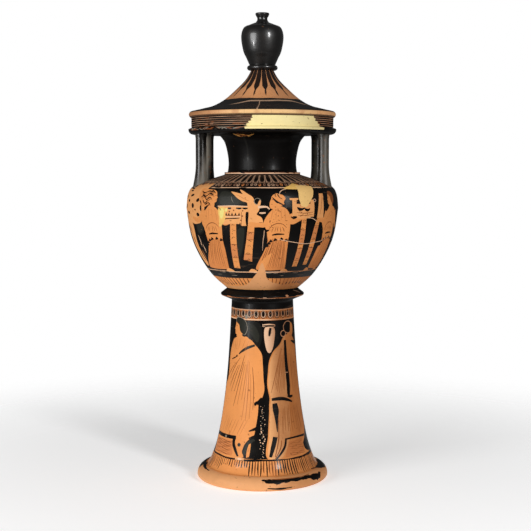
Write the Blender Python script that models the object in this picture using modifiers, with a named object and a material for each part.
"""Wedding bowl on its own flaring stand, with a loose conical lid. Metres, +Z up, origin under the foot's centre."""

import math

import bmesh
import bpy
from mathutils import Vector

# Turning: facets round the axis, points between two stations of a curve, and points on a small round edge
TURN_STEPS = 30
CURVE_STEPS = 2
EDGE_STEPS = 3

# Fired clay walls
BOWL_WALL = 0.0055
NECK_WALL = 0.0060
STAND_WALL = 0.0060
FLOOR_WALL = 0.0090
LID_WALL = 0.0055
LID_CEILING = 0.0160
KNOB_WALL = 0.0024

# Foot and stand: a round-edged foot disc, then a shaft that flares downwards
FOOT_RADIUS = 0.0848
FOOT_THICKNESS = 0.0170
FOOT_LOWER_EDGE = 0.0045
FOOT_STEP_RADIUS = 0.0715
FOOT_REST_WIDTH = 0.0120
STAND_HEIGHT = 0.2150
STAND_TOP_RADIUS = 0.0396

# Collar between stand and bowl: a sharp flange, deep at its root and thin at its tip
COLLAR_RADIUS = 0.0536
COLLAR_ROOT_HEIGHT = 0.0145
COLLAR_TIP_HEIGHT = 0.0044

# Bowl: height from collar to the foot of the neck, and the belly's place on it
BOWL_FOOT_RADIUS = 0.0455
BOWL_HEIGHT = 0.1455
BELLY_RADIUS = 0.0974
BELLY_HEIGHT_SHARE = 0.710
BOWL_FLOOR_RISE = 0.0015

# Neck: a fine ring at its foot, a waist, and a flare up to the mouth plate
NECK_RING_RADIUS = 0.0485
NECK_RING_HEIGHT = 0.0030
NECK_RADIUS = 0.0433
NECK_HEIGHT = 0.0480
NECK_TOP_RADIUS = 0.0560

# Mouth: a lip, a reeded upright band above it and a shallow dish inside
MOUTH_LIP_RADIUS = 0.0945
MOUTH_LIP_HEIGHT = 0.0080
MOUTH_LIP_EDGE = 0.0020
MOUTH_BAND_RADIUS = 0.0908
MOUTH_BAND_HEIGHT = 0.0125
MOUTH_BAND_WALL = 0.0085
REED_COUNT = 5
REED_DEPTH = 0.0009
MOUTH_PLATE_THICKNESS = 0.0065

# Handles: a pair of upright legs on each side, from shoulder to mouth plate
LEG_RADIUS = 0.0068
LEG_ROOT_RADIUS = 0.0100
LEG_INSET = 0.0174
LEG_ROOT_OUTSET = 0.0015
LEG_HALF_SPACING_DEG = 21.0
HANDLE_SETBACK_DEG = 6.5
LEG_FLARE_SHARE = 0.35
LEG_SIDES = 12
LEG_RINGS = 6

# Lid: a concave cone with a thick edge, and a ring under it that drops into the mouth
LID_CLEARANCE = 0.0003
LID_OVERHANG = 0.0030
LID_EDGE_THICKNESS = 0.0085
LID_CONE_HEIGHT = 0.0520
LID_STEM_RADIUS = 0.0142
LID_RING_DEPTH = 0.0070
LID_RING_WIDTH = 0.0050
LID_RING_GAP = 0.0015

# Knob: a little closed-bodied vase on a moulded ring
KNOB_RING_RADIUS = 0.0195
KNOB_RING_HEIGHT = 0.0062
KNOB_FOOT_RADIUS = 0.0162
KNOB_BODY_RADIUS = 0.0270
KNOB_BODY_HEIGHT = 0.0540
KNOB_NECK_RADIUS = 0.0066
KNOB_NECK_FOOT_RADIUS = 0.0085
KNOB_NECK_HEIGHT = 0.0060
KNOB_LIP_RADIUS = 0.0088
KNOB_LIP_HEIGHT = 0.0060
KNOB_FLOOR = 0.0040


# Profiles as shares: how far out between the narrow and the wide radius, and how high from foot to top
STAND_CURVE = ((0, 1), (0.07, 0.80), (0.185, 0.56), (0.364, 0.335), (0.589, 0.155), (0.82, 0.05), (1, 0))
SHOULDER_CURVE = ((0, 1), (0.40, 0.85), (0.80, 0.67), (0.955, 0.42), (1, 0))
UNDERBELLY_CURVE = ((0.90, 0.68), (0.70, 0.425), (0.385, 0.18), (0, 0))
NECK_CURVE = ((1, 1), (0.40, 0.80), (0.06, 0.44), (0, 0.18), (0.10, 0))
KNOB_CURVE = ((0.06, 0.94), (0.72, 0.87), (1, 0.66), (0.76, 0.346), (0.35, 0.16), (0, 0))
CONE_CURVE = ((0, 1), (0.09, 0.78), (0.24, 0.555), (0.44, 0.30), (0.64, 0.135), (0.84, 0.055), (1, 0))


def flow(stations, steps):
    """Points on a smooth curve through the stations, each a (radius, height) pair."""
    points = []
    last = len(stations) - 1
    for i in range(last):
        before = Vector(stations[max(i - 1, 0)])
        start = Vector(stations[i])
        end = Vector(stations[i + 1])
        after = Vector(stations[min(i + 2, last)])
        for k in range(steps):
            t = k / steps
            pull_in = (end - before) / 2
            pull_out = (after - start) / 2
            points.append(
                start * (2 * t**3 - 3 * t**2 + 1)
                + pull_in * (t**3 - 2 * t**2 + t)
                + end * (3 * t**2 - 2 * t**3)
                + pull_out * (t**3 - t**2)
            )
    points.append(Vector(stations[last]))
    return points


def arc(centre, size, start_deg, end_deg, steps):
    """Points on an ellipse's arc in the radius and height plane."""
    points = []
    for k in range(steps + 1):
        angle = math.radians(start_deg + (end_deg - start_deg) * k / steps)
        points.append(Vector((centre[0] + size[0] * math.cos(angle), centre[1] + size[1] * math.sin(angle))))
    return points


def thinned(points):
    """Every other point, keeping both ends, for walls that only the inside shows."""
    return points[:-1:2] + points[-1:]


def inset(points, wall):
    """The same curve moved in by the wall, measured square to it. The curve runs down its outer side."""
    moved = []
    for i, point in enumerate(points):
        along = points[min(i + 1, len(points) - 1)] - points[max(i - 1, 0)]
        inwards = Vector((along.y, -along.x)).normalized()
        moved.append(point + inwards * wall)
    return moved


# Heights and places that follow from the sizes above
STAND_TOP = STAND_HEIGHT + FOOT_THICKNESS
BOWL_BASE = STAND_TOP + COLLAR_ROOT_HEIGHT
NECK_BASE = BOWL_BASE + BOWL_HEIGHT
PLATE_BASE = NECK_BASE + NECK_RING_HEIGHT + NECK_HEIGHT
LIP_TOP = PLATE_BASE + MOUTH_LIP_HEIGHT
MOUTH_TOP = LIP_TOP + MOUTH_BAND_HEIGHT
LID_BASE = MOUTH_TOP + LID_CLEARANCE
LID_EDGE_TOP = LID_BASE + LID_EDGE_THICKNESS
LID_STEM_TOP = LID_EDGE_TOP + LID_CONE_HEIGHT
LEG_CIRCLE_RADIUS = BELLY_RADIUS - LEG_INSET


def stand_outside():
    """Shaft of the stand from the collar down to the foot's step, flaring faster and faster."""
    stations = []
    for outwards, height in STAND_CURVE:
        radius = STAND_TOP_RADIUS + outwards * (FOOT_STEP_RADIUS - STAND_TOP_RADIUS)
        stations.append((radius, FOOT_THICKNESS + height * STAND_HEIGHT))
    return flow(stations, CURVE_STEPS)


def foot_outside():
    """Round edge of the foot disc, from its step to the resting ring."""
    low = FOOT_LOWER_EDGE
    high = FOOT_THICKNESS - FOOT_LOWER_EDGE
    shoulder = arc((FOOT_RADIUS - high, low), (high, high), 80, 0, EDGE_STEPS + 1)
    return shoulder + arc((FOOT_RADIUS - low, low), (low, low), -30, -90, EDGE_STEPS - 1)


def collar_outside():
    """Flange between bowl and stand: it slopes down to a rounded tip, and back in beneath."""
    tip = COLLAR_TIP_HEIGHT / 2
    level = STAND_TOP + COLLAR_ROOT_HEIGHT / 2
    return arc((COLLAR_RADIUS - tip, level), (tip, tip), 60, -60, EDGE_STEPS)


def bowl_outside():
    """Bowl from the foot of the neck, over its flat shoulder and belly, down to the collar."""
    belly = BOWL_BASE + BELLY_HEIGHT_SHARE * BOWL_HEIGHT
    stations = []
    for outwards, height in SHOULDER_CURVE:
        radius = NECK_RING_RADIUS + outwards * (BELLY_RADIUS - NECK_RING_RADIUS)
        stations.append((radius, belly + height * (NECK_BASE - belly)))
    for outwards, height in UNDERBELLY_CURVE:
        radius = BOWL_FOOT_RADIUS + outwards * (BELLY_RADIUS - BOWL_FOOT_RADIUS)
        stations.append((radius, BOWL_BASE + height * (belly - BOWL_BASE)))
    return flow(stations, CURVE_STEPS)


def neck_outside():
    """Neck from the mouth plate down to its ring."""
    stations = []
    for outwards, height in NECK_CURVE:
        radius = NECK_RADIUS + outwards * (NECK_TOP_RADIUS - NECK_RADIUS)
        stations.append((radius, NECK_BASE + NECK_RING_HEIGHT + height * NECK_HEIGHT))
    return flow(stations, CURVE_STEPS)


def mouth_outside():
    """Reeded band and lip, from the mouth's top edge to the underside of its plate."""
    reed = MOUTH_BAND_HEIGHT / REED_COUNT
    band = []
    for k in range(REED_COUNT):
        top = MOUTH_TOP - k * reed
        band.append(Vector((MOUTH_BAND_RADIUS - REED_DEPTH, top)))
        band.append(Vector((MOUTH_BAND_RADIUS, top - reed / 2)))
    low = MOUTH_LIP_HEIGHT - MOUTH_LIP_EDGE
    centre = (MOUTH_LIP_RADIUS - low, LIP_TOP - MOUTH_LIP_EDGE)
    lip = arc(centre, (low, MOUTH_LIP_EDGE), 60, 0, EDGE_STEPS - 1) + arc(centre, (low, low), -30, -80, EDGE_STEPS - 1)
    return band + lip


def mouth_inside():
    """Shallow dish of the mouth, from the neck's inner edge out and up to the top edge."""
    floor = PLATE_BASE + MOUTH_PLATE_THICKNESS
    inner = MOUTH_BAND_RADIUS - MOUTH_BAND_WALL
    corner = LID_RING_GAP
    return [Vector((inner - corner, floor)), Vector((inner, floor + corner)), Vector((inner, MOUTH_TOP))]


def vessel_profile():
    """The whole turned section, from the bowl's floor over the mouth and foot to the stand's ceiling."""
    bowl = bowl_outside()
    neck = neck_outside()
    stand = stand_outside()
    floor = Vector((0, BOWL_BASE + BOWL_FLOOR_RISE))
    bowl_in = [p for p in thinned(inset(bowl, BOWL_WALL)) if p.y > floor.y + BOWL_WALL]
    neck_in = thinned(inset(neck, NECK_WALL))
    stand_in = [p for p in thinned(inset(stand, STAND_WALL)) if p.y > FOOT_THICKNESS]
    ceiling = Vector((0, floor.y - FLOOR_WALL))
    ring = [Vector((NECK_RING_RADIUS, NECK_BASE + NECK_RING_HEIGHT))]
    under_foot = [Vector((FOOT_RADIUS - FOOT_LOWER_EDGE - FOOT_REST_WIDTH, 0))]
    inside = [floor, Vector((BOWL_FOOT_RADIUS - 2 * BOWL_WALL, floor.y))] + bowl_in[::-1] + neck_in[::-1][1:]
    outside = mouth_outside() + neck + ring + bowl + collar_outside() + stand + foot_outside()
    stand_hollow = under_foot + stand_in[::-1] + [ceiling]
    return inside + mouth_inside() + outside + stand_hollow


def turned(name, profile):
    """A solid of revolution from a profile that starts and ends on the axis."""
    mesh = bpy.data.meshes.new(name)
    edges = [(i, i + 1) for i in range(len(profile) - 1)]
    mesh.from_pydata([(p.x, 0, p.y) for p in profile], edges, [])
    body = bpy.data.objects.new(name, mesh)
    parts.objects.link(body)
    screw = body.modifiers.new("turn", "SCREW")
    screw.steps = TURN_STEPS
    screw.render_steps = TURN_STEPS
    screw.use_merge_vertices = True
    screw.merge_threshold = 0.00001
    return body


def frozen(body):
    """The object with its modifiers taken into its mesh, poles closed and faces outward."""
    shape = bpy.data.meshes.new_from_object(body.evaluated_get(bpy.context.evaluated_depsgraph_get()))
    work = bmesh.new()
    work.from_mesh(shape)
    bmesh.ops.remove_doubles(work, verts=work.verts, dist=0.00001)
    bmesh.ops.recalc_face_normals(work, faces=work.faces)
    work.to_mesh(shape)
    work.free()
    body.modifiers.clear()
    body.data = shape
    return body


def shoulder_height(radius):
    """Height of the bowl's outer surface above its belly, at a radius."""
    curve = bowl_outside()
    for high, low in zip(curve, curve[1:]):
        if high.x <= radius <= low.x:
            share = (radius - high.x) / (low.x - high.x)
            return high.y + share * (low.y - high.y)
    return BOWL_BASE + BELLY_HEIGHT_SHARE * BOWL_HEIGHT


def handle_leg(name, azimuth_deg):
    """One upright leg: its root spreads on the shoulder, and its top is let into the mouth plate."""
    azimuth = math.radians(azimuth_deg)
    root = shoulder_height(LEG_CIRCLE_RADIUS)
    top = PLATE_BASE + MOUTH_PLATE_THICKNESS / 2
    spread = LEG_ROOT_RADIUS - LEG_RADIUS
    work = bmesh.new()
    rings = []
    for k in range(LEG_RINGS + 1):
        share = (k / LEG_RINGS) ** 1.5
        flare = max(0.0, 1 - share / LEG_FLARE_SHARE) ** 2
        settle = max(0.0, 1 - share / LEG_FLARE_SHARE)
        thick = LEG_RADIUS + spread * flare
        circle = LEG_CIRCLE_RADIUS + LEG_ROOT_OUTSET * flare
        level = root + (top - root) * share
        ring = []
        for n in range(LEG_SIDES):
            turn = 2 * math.pi * n / LEG_SIDES
            out = circle + thick * math.cos(turn)
            side = thick * math.sin(turn)
            x = out * math.cos(azimuth) - side * math.sin(azimuth)
            y = out * math.sin(azimuth) + side * math.cos(azimuth)
            fall = shoulder_height(math.hypot(x, y)) - root
            ring.append(work.verts.new((x, y, level + settle * fall - flare * BOWL_WALL / 2)))
        rings.append(ring)
    for low, high in zip(rings, rings[1:]):
        for n in range(LEG_SIDES):
            following = (n + 1) % LEG_SIDES
            work.faces.new((low[n], low[following], high[following], high[n]))
    work.faces.new(rings[0][::-1])
    work.faces.new(rings[-1])
    bmesh.ops.triangulate(work, faces=[face for face in work.faces if len(face.verts) > 4])
    bmesh.ops.recalc_face_normals(work, faces=work.faces)
    mesh = bpy.data.meshes.new(name)
    work.to_mesh(mesh)
    work.free()
    leg = bpy.data.objects.new(name, mesh)
    cutters.objects.link(leg)
    leg.hide_render = True
    leg.display_type = "WIRE"
    return leg


def leg_azimuths():
    """Azimuths of the four legs: a pair on each side, a little behind the vessel's middle."""
    azimuths = []
    for side in (0, 180):
        back = HANDLE_SETBACK_DEG if side == 0 else -HANDLE_SETBACK_DEG
        for spread in (-LEG_HALF_SPACING_DEG, LEG_HALF_SPACING_DEG):
            azimuths.append(side + back + spread)
    return azimuths


def knob_outside():
    """Little vase in three runs from the top: lip and neck, body, and the moulded ring that it stands on."""
    ring_top = LID_STEM_TOP + KNOB_RING_HEIGHT
    body_top = ring_top + KNOB_BODY_HEIGHT
    neck_top = body_top + KNOB_NECK_HEIGHT
    neck_foot = (KNOB_NECK_FOOT_RADIUS, body_top)
    lip = [(KNOB_LIP_RADIUS, neck_top + KNOB_LIP_HEIGHT), (KNOB_NECK_RADIUS, neck_top), neck_foot]
    body = [neck_foot]
    for outwards, height in KNOB_CURVE:
        radius = KNOB_FOOT_RADIUS + outwards * (KNOB_BODY_RADIUS - KNOB_FOOT_RADIUS)
        body.append((radius, ring_top + height * KNOB_BODY_HEIGHT))
    half = KNOB_RING_HEIGHT / 2
    ring = arc((KNOB_RING_RADIUS - half, ring_top - half), (half, half), 70, -70, EDGE_STEPS)
    return flow(lip, CURVE_STEPS), flow(body, CURVE_STEPS), ring


def lid_profile():
    """The lid's whole turned section, from the floor of the hollow knob to the cone's ceiling."""
    edge_radius = MOUTH_BAND_RADIUS + LID_OVERHANG
    half = LID_EDGE_THICKNESS / 2
    stations = []
    for outwards, height in CONE_CURVE:
        radius = LID_STEM_RADIUS + outwards * (edge_radius - half - LID_STEM_RADIUS)
        stations.append((radius, LID_EDGE_TOP + height * LID_CONE_HEIGHT))
    cone = flow(stations, CURVE_STEPS)
    edge = arc((edge_radius - half, LID_EDGE_TOP - half), (half, half), 50, -90, EDGE_STEPS)
    ring_out = MOUTH_BAND_RADIUS - MOUTH_BAND_WALL - LID_RING_GAP
    ring_in = ring_out - LID_RING_WIDTH
    ring_foot = LID_BASE - LID_RING_DEPTH
    ring = [Vector((ring_out, LID_BASE)), Vector((ring_out, ring_foot)), Vector((ring_in, ring_foot))]
    ceiling = Vector((0, LID_STEM_TOP - LID_CEILING))
    hollow = [p for p in thinned(inset(cone, LID_WALL)) if LID_WALL < p.x < ring_in - LID_RING_GAP]
    lip, body, knob_ring = knob_outside()
    knob_floor = LID_STEM_TOP + KNOB_RING_HEIGHT + KNOB_FLOOR
    bore = inset(lip, KNOB_WALL)
    belly = [p for p in thinned(inset(body, KNOB_WALL)[1:]) if p.y > knob_floor + KNOB_WALL]
    pocket = [Vector((0, knob_floor)), Vector((belly[-1].x - KNOB_WALL, knob_floor))]
    inside = pocket + belly[::-1] + bore[::-1]
    outside = lip + body[1:] + knob_ring + cone + edge + ring
    return inside + outside + [p for p in hollow[::-1] if p.y < ceiling.y] + [ceiling]


def clay(name, colour, roughness):
    """Fired clay with its slip, as one plain finish."""
    material = bpy.data.materials.new(name)
    material.use_nodes = True
    shader = material.node_tree.nodes["Principled BSDF"]
    shader.inputs["Base Color"].default_value = (*colour, 1)
    shader.inputs["Roughness"].default_value = roughness
    shader.inputs["Metallic"].default_value = 0
    return material


def build_vessel():
    """Bowl, neck, mouth and stand turned as one, with the four legs joined on."""
    body = frozen(turned("vessel", vessel_profile()))
    for number, azimuth in enumerate(leg_azimuths(), 1):
        leg = handle_leg(f"leg_{number}", azimuth)
        join = body.modifiers.new(f"join_leg_{number}", "BOOLEAN")
        join.operation = "UNION"
        join.object = leg
    body.data.materials.append(clay("painted_clay", (0.42, 0.19, 0.08), 0.45))
    return body


def build_lid():
    """Lid and knob, turned as one."""
    body = frozen(turned("lid", lid_profile()))
    body.data.materials.append(clay("lid_clay", (0.30, 0.14, 0.07), 0.40))
    return body


for old in list(bpy.data.objects):
    bpy.data.objects.remove(old, do_unlink=True)
parts = bpy.data.collections.new("lebes_gamikos")
cutters = bpy.data.collections.new("cutters")
bpy.context.scene.collection.children.link(parts)
bpy.context.scene.collection.children.link(cutters)
build_vessel()
build_lid()
